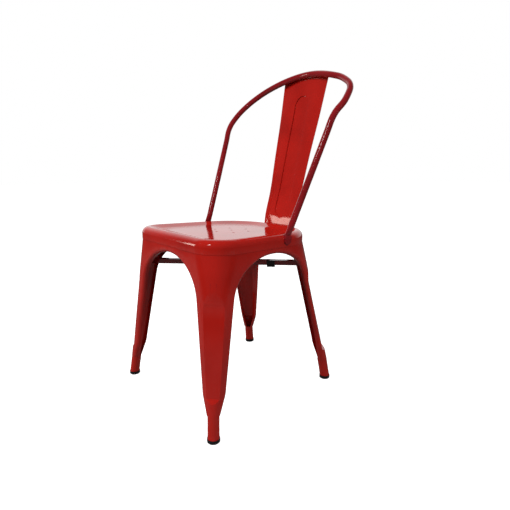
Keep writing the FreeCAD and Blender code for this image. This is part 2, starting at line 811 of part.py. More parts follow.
def tang():
    """Flat end of the tube, formed over the roll and the skirt of the seat."""
    skin = seat_skin(val("weld_gap") + val("tang_thickness")).cut(seat_skin(val("weld_gap")))
    half = val("tang_width") / 2
    top = on_side(val("squash_end") + val("tang_thickness"))
    end = on_side(val("tang_end_height") + half)
    run = Vector(0, top.y - end.y, top.z - end.z)
    run.normalize()
    beside = Vector(0, run.z, -run.y)
    high = Vector(0, top.y, top.z)
    low = Vector(0, end.y, end.z)
    edges = [
        Part.makeLine(low + beside * half, high + beside * half),
        Part.makeLine(high + beside * half, high - beside * half),
        Part.makeLine(high - beside * half, low - beside * half),
        Part.Arc(low - beside * half, low - run * half, low + beside * half).toShape(),
    ]
    strip = Part.Face(Part.Wire(edges)).extrude(Vector(root.x, 0, 0))
    strip.translate(Vector(root.x, 0, 0))
    return skin.common(strip)


squash_from = on_side(val("squash_start"))
left_end = squash().fuse(tang()).cut(seat_skin(val("weld_gap")))
left_end = only_solid(left_end)
right_end = left_end.mirror(Vector(0, 0, 0), Vector(1, 0, 0))
hoop = tube(squash_from).fuse([left_end, right_end])
keep("back_hoop", only_solid(hoop))


# back splat

def splat_profile(shift_front, shift_back):
    """Side profile of the splat between two offsets behind its front face, extruded."""
    slope = math.tan(math.radians(val("seat_slope")))
    rear_face = val("rear_corner_behind") + val("rear_corner_radius")
    centre_drop = val("seat_height") - val("splat_tongue_height")
    foot_behind = rear_face + val("weld_gap") - slope * centre_drop / 2
    spots = [
        (foot_behind + slope * (val("splat_bend_height") - val("splat_tongue_height")),
         val("splat_bend_height")),
        (val("splat_lower_behind"), val("splat_lower_height")),
        (val("splat_lumbar_behind"), val("splat_lumbar_height")),
        (val("splat_upper_behind"), val("splat_upper_height")),
        (val("splat_top_behind"), val("splat_top_height")),
    ]
    last = spots[-1]
    before = spots[-2]
    lean = (last[0] - before[0]) / (last[1] - before[1])
    over = val("hoop_top_height") + val("tube_radius")
    spots.append((last[0] + lean * (over - last[1]), over))
    edges = []
    lows = []
    highs = []
    for shift in (shift_front, shift_back):
        points = [Vector(0, y + shift, z) for y, z in spots]
        curve = Part.BSplineCurve()
        curve.interpolate(
            Points=points, InitialTangent=Vector(0, slope, 1), FinalTangent=Vector(0, lean, 1)
        )
        low = Vector(0, foot_behind + shift, val("splat_tongue_height"))
        edges += [Part.makeLine(low, points[0]), curve.toShape()]
        lows.append(low)
        highs.append(points[-1])
    edges += [Part.makeLine(*lows), Part.makeLine(*highs)]
    outline = Part.Wire(Part.__sortEdges__(edges))
    wide = 2 * val("splat_top_half")
    solid = Part.Face(outline).extrude(Vector(2 * wide, 0, 0))
    solid.translate(Vector(-wide, 0, 0))
    return solid


def crown_arc(drop):
    """Line of the hoop over the splat, seen from the front, as three points."""
    half = val("splat_top_half")
    share = half / val("hoop_crown_across")
    fall = (val("hoop_top_height") - val("hoop_crown_height")) * share * share
    side = val("hoop_top_height") - fall
    return (
        Vector(-half - 1, 0, side - drop),
        Vector(0, 0, val("hoop_top_height") - drop),
        Vector(half + 1, 0, side - drop),
    )


def splat_outline():
    """Front outline of the splat as a prism through its thickness."""
    spots = [
        (val("splat_foot_half"), val("splat_foot_height")),
        (val("splat_mid_half"), val("splat_mid_height")),
        (val("splat_top_half"), val("splat_top_height")),
    ]
    last = spots[-1]
    before = spots[-2]
    widen = (last[0] - before[0]) / (last[1] - before[1])
    over = val("hoop_top_height") + val("tube_radius")
    spots.append((last[0] + widen * (over - last[1]), over))
    curves = []
    for sign in (1, -1):
        curve = Part.BSplineCurve()
        curve.interpolate(Points=[Vector(sign * x, 0, z) for x, z in spots])
        curves.append(curve.toShape())
    corner = val("splat_tongue_corner")
    low = val("splat_tongue_height")
    half = val("splat_foot_half")
    tip = half - corner
    diagonal = corner * math.sqrt(0.5)
    level = val("splat_foot_height")
    edges = curves + [
        Part.makeLine(Vector(half, 0, level), Vector(half, 0, low + corner)),
        Part.Arc(
            Vector(half, 0, low + corner),
            Vector(tip + diagonal, 0, low + corner - diagonal),
            Vector(tip, 0, low),
        ).toShape(),
        Part.makeLine(Vector(tip, 0, low), Vector(-tip, 0, low)),
        Part.Arc(
            Vector(-tip, 0, low),
            Vector(-tip - diagonal, 0, low + corner - diagonal),
            Vector(-half, 0, low + corner),
        ).toShape(),
        Part.makeLine(Vector(-half, 0, low + corner), Vector(-half, 0, level)),
        Part.makeLine(
            Vector(spots[-1][0], 0, spots[-1][1]), Vector(-spots[-1][0], 0, spots[-1][1])
        ),
    ]
    face = Part.Face(Part.Wire(Part.__sortEdges__(edges)))
    return face.extrude(Vector(0, 2 * val("hoop_top_behind"), 0))


def stadium(grow):
    """Pressed panel seen from the front, as a prism."""
    half = val("panel_half") + grow
    high = val("panel_top") - val("panel_half")
    low = val("panel_foot") + val("panel_half")
    left_low = Vector(half, 0, low)
    left_high = Vector(half, 0, high)
    right_low = Vector(-half, 0, low)
    right_high = Vector(-half, 0, high)
    edges = [
        Part.makeLine(left_low, left_high),
        Part.Arc(left_high, Vector(0, 0, high + half), right_high).toShape(),
        Part.makeLine(right_high, right_low),
        Part.Arc(right_low, Vector(0, 0, low - half), left_low).toShape(),
    ]
    return Part.Face(Part.Wire(edges)).extrude(Vector(0, 2 * val("hoop_top_behind"), 0))


wall = val("sheet_wall")
depth = val("panel_depth")
plate = splat_profile(0.0, wall)
boss = splat_profile(wall / 2, wall + depth).common(stadium(wall))
pocket = splat_profile(-wall, depth).common(stadium(0.0))
splat = plate.fuse(boss).cut(pocket)
# the top edge is turned forward to meet the hoop
low_arc = crown_arc(wall)
high_arc = crown_arc(0.0)
lip_edges = [
    Part.Arc(*low_arc).toShape(),
    Part.Arc(*high_arc).toShape(),
    Part.makeLine(low_arc[0], high_arc[0]),
    Part.makeLine(low_arc[2], high_arc[2]),
]
ahead = val("hoop_crown_behind")
reach = val("splat_top_behind") - ahead + val("splat_lip_over")
lip = Part.Face(Part.Wire(Part.__sortEdges__(lip_edges))).extrude(Vector(0, reach, 0))
lip.translate(Vector(0, ahead, 0))
lip = lip.cut(splat_profile(wall, val("splat_room")))
lift = Vector(0, 0, val("splat_room"))
over_edges = [
    Part.Arc(*high_arc).toShape(),
    Part.makeLine(high_arc[0], high_arc[0] + lift),
    Part.makeLine(high_arc[2], high_arc[2] + lift),
    Part.makeLine(high_arc[0] + lift, high_arc[2] + lift),
]
above = Part.Face(Part.Wire(Part.__sortEdges__(over_edges)))
above = above.extrude(Vector(0, 2 * val("hoop_top_behind"), 0))
splat = splat.fuse(lip).common(splat_outline()).cut(above)
splat = splat.cut(rod(val("tube_radius") + val("weld_gap"), squash_from))
keep("back_splat", only_solid(splat))


# brace under the seat: a long bar and two half bars crossing under the seat

def frame_room():
    """Space inside the legs, as far as a weld away from the sheet."""
    inset = val("sheet_wall") + val("weld_gap")
    space = frame_block(inset)
    for end in (1, -1):
        for _, side in SIDES:
            space = space.cut(flute(end, side, inset))
    return space


room = keep("frame_room", frame_room())


def bar(name):
    """Pressed bar, open below, laid along its own X axis."""
    body = doc.addObject("PartDesign::Body", name)
    section = body.newObject("Sketcher::SketchObject", name + "_section")
    section.AttachmentSupport = [(plane_of(body, "YZ_Plane"), "")]
    section.MapMode = "FlatFace"
    wide = val("bar_width") / 2
    tall = val("bar_depth") / 2
    wall = val("bar_wall")
    corners = [
        (-wide, -tall), (-wide, tall), (wide, tall), (wide, -tall),
        (wide - wall, -tall), (wide - wall, tall - wall),
        (wall - wide, tall - wall), (wall - wide, -tall),
    ]
    count = len(corners)
    for n in range(count):
        first = corners[n]
        second = corners[(n + 1) % count]
        section.addGeometry(
            Part.LineSegment(Vector(first[0], first[1], 0), Vector(second[0], second[1], 0)),
            False,
        )
    for n in range(count):
        section.addConstraint(Sketcher.Constraint("Coincident", n, 2, (n + 1) % count, 1))
        kind = "Vertical" if n % 2 == 0 else "Horizontal"
        section.addConstraint(Sketcher.Constraint(kind, n))
    section.addConstraint(Sketcher.Constraint("Symmetric", 0, 1, 2, 1, -1, 1))
    bound = [
        ("DistanceX", (1, 1, 1, 2), "bar_width"),
        ("DistanceY", (0, 1, 0, 2), "bar_depth"),
        ("DistanceX", (3, 2, 3, 1), "bar_wall"),
        ("DistanceX", (7, 2, 7, 1), "bar_wall"),
        ("DistanceY", (5, 1, 1, 2), "bar_wall"),
    ]
    for kind, ends, source in bound:
        n = section.addConstraint(Sketcher.Constraint(kind, *ends, val(source)))
        section.setExpression("Constraints[%d]" % n, "sizes." + source)
    doc.recompute()
    pad = body.newObject("PartDesign::Pad", name + "_length")
    pad.Profile = section
    pad.Midplane = True
    pad.setExpression("Length", "2 * sizes.bar_reach")
    body.Tip = pad
    return body


def box(name, length, width, height, place):
    """Box about the middle of its placement, its top at the placement."""
    piece = doc.addObject("Part::Box", name)
    piece.setExpression("Length", length)
    piece.setExpression("Width", width)
    piece.setExpression("Height", height)
    doc.recompute()
    corner = Vector(-piece.Length.Value / 2, -piece.Width.Value / 2, -piece.Height.Value)
    piece.Placement = place.multiply(Placement(corner, Rotation()))
    return piece


def along_brace(turn, distance, lift):
    """Placement at a distance from the crossing, its X axis along a bar."""
    spin = Rotation(Vector(0, 0, 1), turn)
    middle = Vector(0, val("brace_cross_behind"), val("brace_height") + lift)
    return Placement(middle, spin).multiply(Placement(Vector(distance, 0, 0), Rotation()))


def joined(kind, name, pieces):
    """Boolean of two or more pieces as one named piece."""
    result = doc.addObject(kind, name)
    if kind == "Part::Cut":
        result.Base = pieces[0]
        result.Tool = pieces[1]
    else:
        result.Shapes = pieces
    result.Label = name
    return result


long_turn = -val("brace_turn")
half_turn = val("brace_turn")
long_length = bar("long_length")
long_length.Placement = along_brace(long_turn, 0.0, 0.0)
joined("Part::MultiCommon", "brace_long_bar", [long_length, room])

for name, sign in (("front", -1), ("rear", 1)):
    half_length = bar(name + "_half_length")
    half_length.Placement = along_brace(half_turn, 0.0, 0.0)
    side_of = box(
        name + "_side", "sizes.bar_reach", "2 * sizes.bar_width", "4 * sizes.bar_depth",
        along_brace(half_turn, sign * val("bar_reach") / 2, 2 * val("bar_depth")),
    )
    crossing = box(
        name + "_crossing", "sizes.bar_reach", "sizes.bar_width + 2 * sizes.weld_gap",
        "4 * sizes.bar_depth", along_brace(long_turn, 0.0, 2 * val("bar_depth")),
    )
    trimmed = joined(
        "Part::MultiCommon", name + "_half_trimmed", [half_length, room, side_of]
    )
    joined("Part::Cut", "brace_half_bar_" + name, [trimmed, crossing])

# stacking pads of rubber, pressed over the brace bars from below
PADS = (
    ("front_left", long_turn, 1),
    ("front_right", half_turn, -1),
    ("rear_left", half_turn, 1),
    ("rear_right", long_turn, -1),
)
for name, turn, sign in PADS:
    distance = sign * val("pad_distance")
    lift = val("bar_depth") / 2
    block = box(
        name + "_pad_block", "sizes.pad_length", "sizes.bar_width + 2 * sizes.pad_wall",
        "sizes.bar_depth + sizes.pad_sole", along_brace(turn, distance, lift),
    )
    groove = box(
        name + "_pad_groove", "2 * sizes.pad_length", "sizes.bar_width",
        "sizes.bar_depth", along_brace(turn, distance, lift),
    )
    joined("Part::Cut", name + "_brace_pad", [block, groove])

doc.recompute()

NODES = [
    "seat_pan",
    "front_left_leg", "front_right_leg", "rear_left_leg", "rear_right_leg",
    "front_left_foot", "front_right_foot", "rear_left_foot", "rear_right_foot",
    "back_hoop", "back_splat",
    "brace_long_bar", "brace_half_bar_front", "brace_half_bar_rear",
    "front_left_brace_pad", "front_right_brace_pad",
    "rear_left_brace_pad", "rear_right_brace_pad",
]

# the sizes are laid out about the middle of the feet; the origin goes to the middle of the outline
shift = Placement(Vector(0, -val("middle_behind"), 0), Rotation())
for name in NODES:
    piece = doc.getObjectsByLabel(name)[0]
    piece.Placement = shift.multiply(piece.Placement)
doc.recompute()

for item in doc.Objects:
    if "Invalid" in item.State or "Error" in item.State:
        raise RuntimeError("%s did not build: %s" % (item.Label, item.State))

os.makedirs("parts", exist_ok=True)
for name in NODES:
    shape = doc.getObjectsByLabel(name)[0].Shape
    if shape.isNull() or not shape.isValid() or len(shape.Solids) != 1:
        raise RuntimeError("%s is not one sound solid" % name)
    shape.exportStep("parts/%s.step" % name)
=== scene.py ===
import math

import bpy
from mathutils import Matrix, Vector


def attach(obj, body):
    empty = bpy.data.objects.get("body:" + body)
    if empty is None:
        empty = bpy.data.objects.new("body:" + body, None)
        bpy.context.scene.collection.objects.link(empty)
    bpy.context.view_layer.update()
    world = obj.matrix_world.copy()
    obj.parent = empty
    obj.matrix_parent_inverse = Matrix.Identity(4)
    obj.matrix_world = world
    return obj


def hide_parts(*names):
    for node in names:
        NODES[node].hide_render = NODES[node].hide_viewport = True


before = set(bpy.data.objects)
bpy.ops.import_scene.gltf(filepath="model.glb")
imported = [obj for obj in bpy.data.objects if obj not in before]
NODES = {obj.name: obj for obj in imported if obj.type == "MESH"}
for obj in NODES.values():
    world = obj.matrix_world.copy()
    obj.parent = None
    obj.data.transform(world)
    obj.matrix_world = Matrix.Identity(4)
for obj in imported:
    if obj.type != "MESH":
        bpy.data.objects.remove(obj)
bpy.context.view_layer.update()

# sizes and places on the chair, in metres

MM = 0.001

PANEL_HALF = 27.5 * MM
PANEL_LOW = 440.0 * MM
PANEL_HIGH = 795.0 * MM
PANEL_ROUNDING = 1.1 * MM
CUT_EDGE_SHARE = 0.3

BRACE_TURN = math.radians(45.3)
BRACE_CROSSING = Vector((0, -29.8 * MM, 337.5 * MM))
BAR_HALF_WIDTH = 8.0 * MM
BAR_HALF_DEPTH = 6.5 * MM
LONG_RUN = Vector((math.cos(BRACE_TURN), -math.sin(BRACE_TURN), 0))
HALF_RUN = Vector((math.cos(BRACE_TURN), math.sin(BRACE_TURN), 0))

HOOP_ROOT = Vector((0, 12.3 * MM, 425.0 * MM))
HOOP_LEAN = Vector((0, 0.3958, 1))
TANG_HALF = 11.0 * MM
TANG_ROUND_DROP = 11.0 * MM
TANG_BEAD_DROP = 3.0 * MM

CROSSING_BEAD = 1.5 * MM
BAR_END_BEAD = 1.7 * MM
TANG_BEAD = 1.2 * MM

SPOT_RADIUS = 3.4 * MM
SPOT_PROUD = 0.35 * MM
SPOT_HEIGHT = 409.0 * MM
SPOTS_ACROSS = (-42.0 * MM, -14.0 * MM, 14.0 * MM, 42.0 * MM)

# angles between faces, in degrees, up to which a piece is shaded smooth

SHEET_SMOOTH = 28
TUBE_SMOOTH = 38
SPLAT_SMOOTH = 32
BEAD_SMOOTH = 60
SPOT_SMOOTH = 50


# colours and nodes

def linear(code):
    """An sRGB hex value as a linear colour."""
    parts = [int(code[i:i + 2], 16) / 255 for i in (1, 3, 5)]
    out = [c / 12.92 if c <= 0.04045 else ((c + 0.055) / 1.055) ** 2.4 for c in parts]
    return (*out, 1.0)


def add(tree, kind, settings=None, inputs=None, links=None):
    """Adds a node; settings are its properties, inputs its values, links its sources."""
    node = tree.nodes.new(kind)
    for name, value in (settings or {}).items():
        setattr(node, name, value)
    for name, value in (inputs or {}).items():
        node.inputs[name].default_value = value
    for name, source in (links or {}).items():
        tree.links.new(source, node.inputs[name])
    return node


def blank(name):
    """A material of that name and its empty node tree."""
    material = bpy.data.materials.new(name)
    material.use_nodes = True
    material.node_tree.nodes.clear()
    return material, material.node_tree


def stops(node, *marks):
    """Sets the stops of a colour ramp from (place, hex) pairs."""
    ramp = node.color_ramp
    while len(ramp.elements) < len(marks):
        ramp.elements.new(1.0)
    for element, (place, code) in zip(ramp.elements, marks):
        element.position = place
        element.color = linear(code)


def gloss_powder_coat(name, deep, main, lit, peel_strength):
    """Polyester powder sprayed on steel and baked to a gloss.

    The eye sees an even, saturated red with a hard mirror on top, broken only by
    a faint orange peel and a few nibs of dust under the skin.
    """
    material, tree = blank(name)
    spot = add(tree, "ShaderNodeTexCoord").outputs["Object"]
    # the film's thickness drifts over a hand's width
    film_drift = 90 * MM
    drift = add(tree, "ShaderNodeTexNoise", None,
                {"Scale": 1 / film_drift, "Detail": 2.0, "Roughness": 0.5}, {"Vector": spot})
    tone = add(tree, "ShaderNodeValToRGB", None, None, {"Fac": drift.outputs["Fac"]})
    stops(tone, (0.30, deep), (0.50, main), (0.72, lit))
    # orange peel is 2 mm across on the real coat, drawn at 4 mm so that it shows
    peel_width = 4 * MM
    peel = add(tree, "ShaderNodeTexNoise", None,
               {"Scale": 1 / peel_width, "Detail": 1.0, "Roughness": 0.4}, {"Vector": spot})
    # nibs of dust are scattered some 12 mm apart
    nib_gap = 12 * MM
    nib_radius = 0.6 * MM
    nibs = add(tree, "ShaderNodeTexVoronoi", {"feature": "F1"},
               {"Scale": 1 / nib_gap, "Randomness": 1.0}, {"Vector": spot})
    nib = add(tree, "ShaderNodeMapRange", {"interpolation_type": "SMOOTHSTEP"},
              {"From Min": 0.0, "From Max": nib_radius / nib_gap, "To Min": 1.0, "To Max": 0.0},
              {"Value": nibs.outputs["Distance"]})
    skin = add(tree, "ShaderNodeBump", None, {"Strength": peel_strength, "Distance": 0.03 * MM},
               {"Height": peel.outputs["Fac"]})
    dusty = add(tree, "ShaderNodeBump", None, {"Strength": 0.25, "Distance": 0.05 * MM},
                {"Height": nib.outputs["Result"], "Normal": skin.outputs["Normal"]})
    # handling dulls the gloss in patches
    patch = 35 * MM
    rubbed = add(tree, "ShaderNodeTexNoise", None,
                 {"Scale": 1 / patch, "Detail": 3.0, "Roughness": 0.6}, {"Vector": spot})
    dull = add(tree, "ShaderNodeMapRange", None,
               {"From Min": 0.35, "From Max": 0.75, "To Min": 0.07, "To Max": 0.13},
               {"Value": rubbed.outputs["Fac"]})
    paint = add(tree, "ShaderNodeBsdfPrincipled", None,
                {"IOR": 1.52, "Metallic": 0.0},
                {"Base Color": tone.outputs["Color"], "Roughness": dull.outputs["Result"],
                 "Normal": dusty.outputs["Normal"]})
    add(tree, "ShaderNodeOutputMaterial", None, None, {"Surface": paint.outputs["BSDF"]})
    return material


def moulded_rubber(name):
    """Black nitrile rubber, moulded in a spark-eroded tool.

    The eye sees a near-black, soft sheen with a fine even grain and grey dust on it.
    """
    material, tree = blank(name)
    spot = add(tree, "ShaderNodeTexCoord").outputs["Object"]
    # the tool's grain is 0.4 mm, drawn at 1 mm so that it shows
    grain_width = 1 * MM
    grain = add(tree, "ShaderNodeTexNoise", None,
                {"Scale": 1 / grain_width, "Detail": 2.0, "Roughness": 0.6}, {"Vector": spot})
    dust_patch = 15 * MM
    dust = add(tree, "ShaderNodeTexNoise", None,
               {"Scale": 1 / dust_patch, "Detail": 3.0, "Roughness": 0.6}, {"Vector": spot})
    tone = add(tree, "ShaderNodeValToRGB", None, None, {"Fac": dust.outputs["Fac"]})
    stops(tone, (0.35, "#0B0B0C"), (0.6, "#141416"), (0.85, "#26262A"))
    rough = add(tree, "ShaderNodeMapRange", None,
                {"From Min": 0.3, "From Max": 0.7, "To Min": 0.42, "To Max": 0.62},
                {"Value": dust.outputs["Fac"]})
    bump = add(tree, "ShaderNodeBump", None, {"Strength": 0.35, "Distance": 0.05 * MM},
               {"Height": grain.outputs["Fac"]})
    rubber = add(tree, "ShaderNodeBsdfPrincipled", None,
                 {"IOR": 1.5, "Metallic": 0.0},
                 {"Base Color": tone.outputs["Color"], "Roughness": rough.outputs["Result"],
                  "Normal": bump.outputs["Normal"]})
    add(tree, "ShaderNodeOutputMaterial", None, None, {"Surface": rubber.outputs["BSDF"]})
    return material


# the coat lies flatter on the thin tube, whose highlights a deep peel would break up
SHEET_PAINT = gloss_powder_coat("powder_coated_sheet_steel", "#A3150D", "#AE180F", "#B61B12", 0.10)
# the tube's red is painted darker than the sheet's, as painted shade for the dark side of the
# studio that the tube mirrors
SHADED_TUBE_PAINT = gloss_powder_coat("powder_coated_steel_tube_painted_shade", "#7D1016", "#861219", "#8E151B", 0.02)
RUBBER = moulded_rubber("moulded_black_rubber")


def finish_for(name):
    """The finish of a node of the frame, by its name."""
    if name.endswith("_foot") or name.endswith("_pad"):
        return RUBBER
    # the hoop and the brace take the tube's red, which is painted darker as shade
    if name.startswith("brace_") or name == "back_hoop":
        return SHADED_TUBE_PAINT
    return SHEET_PAINT


# pieces

def only_active(piece):
    """Selects one piece and nothing else."""
    bpy.ops.object.select_all(action="DESELECT")
    piece.select_set(True)
    bpy.context.view_layer.objects.active = piece


def joined_skin(node_name, name):
    """A copy of a node's mesh with its triangles joined, as a new piece."""
    mesh = NODES[node_name].data.copy()
    mesh.name = name
    mesh.materials.clear()
    piece = bpy.data.objects.new(name, mesh)
    bpy.context.scene.collection.objects.link(piece)
    only_active(piece)
    bpy.ops.mesh.customdata_custom_splitnormals_clear()
    bpy.ops.object.mode_set(mode="EDIT")
    bpy.ops.mesh.select_all(action="SELECT")
    bpy.ops.mesh.remove_doubles(threshold=0.01 * MM)
    bpy.ops.object.mode_set(mode="OBJECT")
    return piece


def smoothed(piece, degrees):
    """Shades a piece smooth up to an angle between its faces."""
    only_active(piece)
    bpy.ops.object.shade_smooth_by_angle(angle=math.radians(degrees))


def settled(piece, material, *nodes):
    """Gives a painted piece its finish, its body and the nodes it stands for."""
    piece.data.materials.clear()
    piece.data.materials.append(material)
    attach(piece, "root")
    if nodes:
        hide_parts(*nodes)


def softened_edges(piece, share_of, width, steps, least_degrees):
    """Rounds the sharp edges of a piece, each by its own share of a width."""
    mesh = piece.data
    weights = mesh.attributes.new("bevel_weight_edge", "FLOAT", "EDGE")
    faces_at = {}
    for face in mesh.polygons:
        for key in face.edge_keys:
            faces_at.setdefault(key, []).append(face.normal)
    least = math.radians(least_degrees)
    for edge in mesh.edges:
        sides = faces_at.get(edge.key, ())
        if len(sides) == 2 and sides[0].angle(sides[1], 0.0) > least:
            middle = (mesh.vertices[edge.vertices[0]].co + mesh.vertices[edge.vertices[1]].co) / 2
            weights.data[edge.index].value = share_of(middle)
    only_active(piece)
    rounding = piece.modifiers.new("rounded_edges", "BEVEL")
    rounding.limit_method = "WEIGHT"
    rounding.width = width
    rounding.segments = steps
    bpy.ops.object.modifier_apply(modifier=rounding.name)


def painted_sheet(node_name, name):
    """A pressed sheet as the press leaves it, its curves smooth and its cut edges crisp."""
    piece = joined_skin(node_name, name)
    smoothed(piece, SHEET_SMOOTH)
    settled(piece, SHEET_PAINT, node_name)


def painted_tube():
    """The bent tube of the back, smooth all round."""
    piece = joined_skin("back_hoop", "bent_tube_hoop")
    smoothed(piece, TUBE_SMOOTH)
    # the hoop's red is painted darker than the sheet's, as painted shade
    settled(piece, SHADED_TUBE_PAINT, "back_hoop")


def pressed_splat():
    """The splat, with the edge of its pressed panel rounded by the press."""
    piece = joined_skin("back_splat", "pressed_splat")
    bpy.ops.object.mode_set(mode="EDIT")
    bpy.ops.mesh.select_all(action="SELECT")
    bpy.ops.mesh.dissolve_limited(angle_limit=math.radians(0.4))
    bpy.ops.object.mode_set(mode="OBJECT")

    def share(spot):
        on_panel = abs(spot.x) < PANEL_HALF and PANEL_LOW < spot.z < PANEL_HIGH
        return 1.0 if on_panel else CUT_EDGE_SHARE

    softened_edges(piece, share, PANEL_ROUNDING, steps=3, least_degrees=35)
    smoothed(piece, SPLAT_SMOOTH)
    settled(piece, SHEET_PAINT, "back_splat")


def rippled_bead(name, points, size):
    """A weld bead laid along points, in scales a little shorter than the bead is wide."""
    line = bpy.data.curves.new(name, "CURVE")
    line.dimensions = "3D"
    line.bevel_depth = size
    line.bevel_resolution = 3
    line.use_fill_caps = True
    scale_radii = (1.0, 0.86, 0.74)
    step = 0.55 * size
    spots = []
    for start, end in zip(points, points[1:]):
        count = max(2, round((end - start).length / step))
        spots += [start.lerp(end, k / count) for k in range(count)]
    spots.append(points[-1])
    run = line.splines.new("POLY")
    run.points.add(len(spots) - 1)
    for index, (point, spot) in enumerate(zip(run.points, spots)):
        point.co = (*spot, 1.0)
        at_end = index in (0, len(spots) - 1)
        point.radius = 0.55 if at_end else scale_radii[index % len(scale_radii)]
    bead = bpy.data.objects.new(name, line)
    bpy.context.scene.collection.objects.link(bead)
    only_active(bead)
    bpy.ops.object.convert(target="MESH")
    bead = bpy.context.object
    bpy.ops.object.mode_set(mode="EDIT")
    bpy.ops.mesh.select_all(action="SELECT")
    bpy.ops.mesh.remove_doubles(threshold=0.005 * MM)
    bpy.ops.mesh.normals_make_consistent(inside=False)
    bpy.ops.object.mode_set(mode="OBJECT")
    smoothed(bead, BEAD_SMOOTH)
    # the beads take the tube's red, which is painted darker as shade
    settled(bead, SHADED_TUBE_PAINT)


def beside(run):
    """The level direction square to a bar."""
    return Vector((-run.y, run.x, 0))


def crossing_bead(name, sign):
    """Bead round three sides of a half bar where it meets the long bar."""
    clear = 0.4 * MM
    proud = 0.2 * MM
    middle = BRACE_CROSSING + HALF_RUN * sign * (BAR_HALF_WIDTH + clear)
    wide = beside(HALF_RUN) * (BAR_HALF_WIDTH + proud)
    tall = Vector((0, 0, BAR_HALF_DEPTH + proud))
    corners = [middle - wide - tall, middle - wide + tall, middle + wide + tall,
               middle + wide - tall]
    rippled_bead(name, corners, CROSSING_BEAD)


def bar_end_bead(name, bar_name, run):
    """Bead round three sides of the end of a bar, where it meets the corner of a leg."""
    side = beside(run)
    proud = 0.3 * MM
    # the rolled edges of a bar lie beyond this share of its half width and half depth
    edge_share = 0.7
    corners = []
    for across, up in ((-1, -1), (-1, 1), (1, 1), (1, -1)):
        edge = [
            v.co for v in NODES[bar_name].data.vertices
            if across * (v.co - BRACE_CROSSING).dot(side) > edge_share * BAR_HALF_WIDTH
            and up * (v.co - BRACE_CROSSING).z > edge_share * BAR_HALF_DEPTH
        ]
        end = max(edge, key=lambda spot: (spot - BRACE_CROSSING).dot(run))
        corners.append(end + (side * across + Vector((0, 0, up))) * proud)
    rippled_bead(name, corners, BAR_END_BEAD)


def brace_beads():
    """Every bead of the brace under the seat."""
    crossing_bead("brace_crossing_bead_front", -1)
    crossing_bead("brace_crossing_bead_rear", 1)
    bar_end_bead("brace_bead_front_left", "brace_long_bar", LONG_RUN)
    bar_end_bead("brace_bead_rear_right", "brace_long_bar", -LONG_RUN)
    bar_end_bead("brace_bead_front_right", "brace_half_bar_front", -HALF_RUN)
    bar_end_bead("brace_bead_rear_left", "brace_half_bar_rear", HALF_RUN)


def tang_bead(name, sign):
    """Bead round the flattened end of the hoop, down one edge, round it and up the other."""
    run = HOOP_LEAN.normalized()
    side = Vector((0, run.z, -run.y))
    low = HOOP_ROOT - HOOP_LEAN * TANG_ROUND_DROP
    high = HOOP_ROOT - HOOP_LEAN * TANG_BEAD_DROP
    reach = TANG_HALF + 0.5 * MM
    turns = 12
    flat = [high + side * reach]
    for step in range(turns + 1):
        angle = math.pi * step / turns
        flat.append(low + side * math.cos(angle) * reach - run * math.sin(angle) * reach)
    flat.append(high - side * reach)
    outside = Vector((sign * 0.30, 0, 0))
    inward = Vector((-sign, 0, 0))
    points = []
    for spot in flat:
        found, place, _, _ = NODES["seat_pan"].ray_cast(spot + outside, inward)
        if found:
            points.append(place - inward * 0.2 * MM)
    rippled_bead(name, points, TANG_BEAD)


def spot_weld(name, node_name, start, way):
    """The round mark of a spot weld: a low rim about a shallow hollow."""
    _, place, normal, _ = NODES[node_name].ray_cast(start, way)
    sunk = 0.25 * MM
    bpy.ops.object.select_all(action="DESELECT")
    bpy.ops.mesh.primitive_cylinder_add(
        vertices=28, radius=SPOT_RADIUS, depth=SPOT_PROUD + sunk,
        location=place + normal * (SPOT_PROUD - sunk) / 2,
        rotation=normal.to_track_quat("Z", "Y").to_euler(),
    )
    mark = bpy.context.object
    mark.name = name
    bpy.ops.object.transform_apply(location=True, rotation=True, scale=True)
    bpy.ops.object.mode_set(mode="EDIT")
    bpy.ops.mesh.select_all(action="DESELECT")
    bpy.ops.object.mode_set(mode="OBJECT")
    for face in mark.data.polygons:
        face.select = face.normal.dot(normal) > 0.9
    bpy.ops.object.mode_set(mode="EDIT")
    bpy.ops.mesh.inset(thickness=0.6 * MM, depth=0.15 * MM)
    bpy.ops.mesh.inset(thickness=0.5 * MM, depth=0.0)
    bpy.ops.mesh.inset(thickness=0.5 * MM, depth=-0.25 * MM)
    bpy.ops.object.mode_set(mode="OBJECT")
    smoothed(mark, SPOT_SMOOTH)
    settled(mark, SHEET_PAINT)


def splat_spot_welds():
    """Four spot welds that hold the foot of the splat to the rear of the skirt."""
    behind = 0.40
    for index, across in enumerate(SPOTS_ACROSS):
        spot_weld("splat_spot_weld_%d" % (index + 1), "back_splat",
                  Vector((across, behind, SPOT_HEIGHT)), Vector((0, -1, 0)))


# studio

